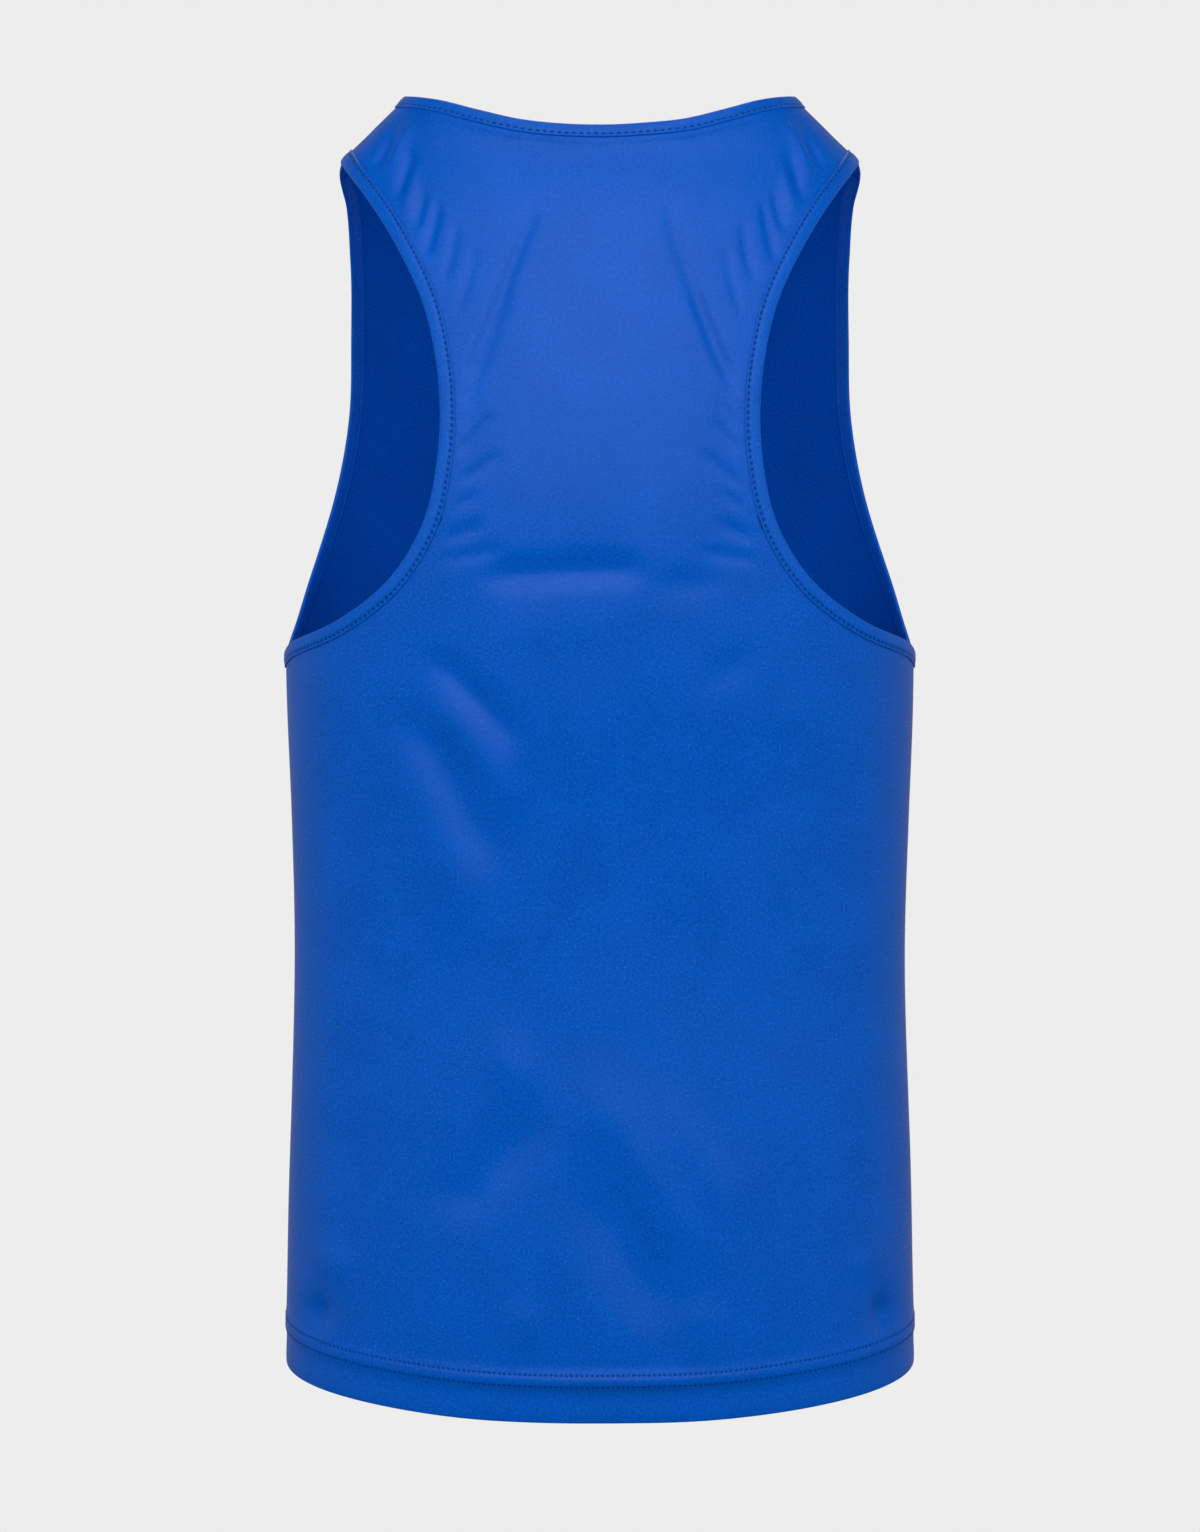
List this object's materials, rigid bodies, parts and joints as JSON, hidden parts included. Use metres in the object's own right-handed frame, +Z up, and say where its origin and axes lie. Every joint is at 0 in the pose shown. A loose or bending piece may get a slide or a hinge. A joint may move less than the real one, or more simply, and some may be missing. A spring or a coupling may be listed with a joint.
{
  "type": "boxing vest",
  "caption": "Sleeveless knit boxing vest with racer-cut back armholes, scoop front neck, bound edges and a turned-up hem, filled out as worn.",
  "frame": {"origin": "midway between the two high shoulder points, where the wearer's shoulders hold the vest", "axes": "+Z up; +Y the way the wearer faces, so the back panel lies towards -Y; +X the wearer's right"},
  "size_m": [0.3604, 0.2255, 0.72],
  "materials": {
    "panel_knit": "satin-faced polyester knit, royal blue",
    "binding_knit": "satin-faced polyester knit, royal blue"
  },
  "bodies": {
    "root": {"back_panel": "panel_knit", "front_panel": "panel_knit", "neck_binding": "binding_knit", "armhole_binding_right": "binding_knit", "armhole_binding_left": "binding_knit"}
  },
  "joints": []
}
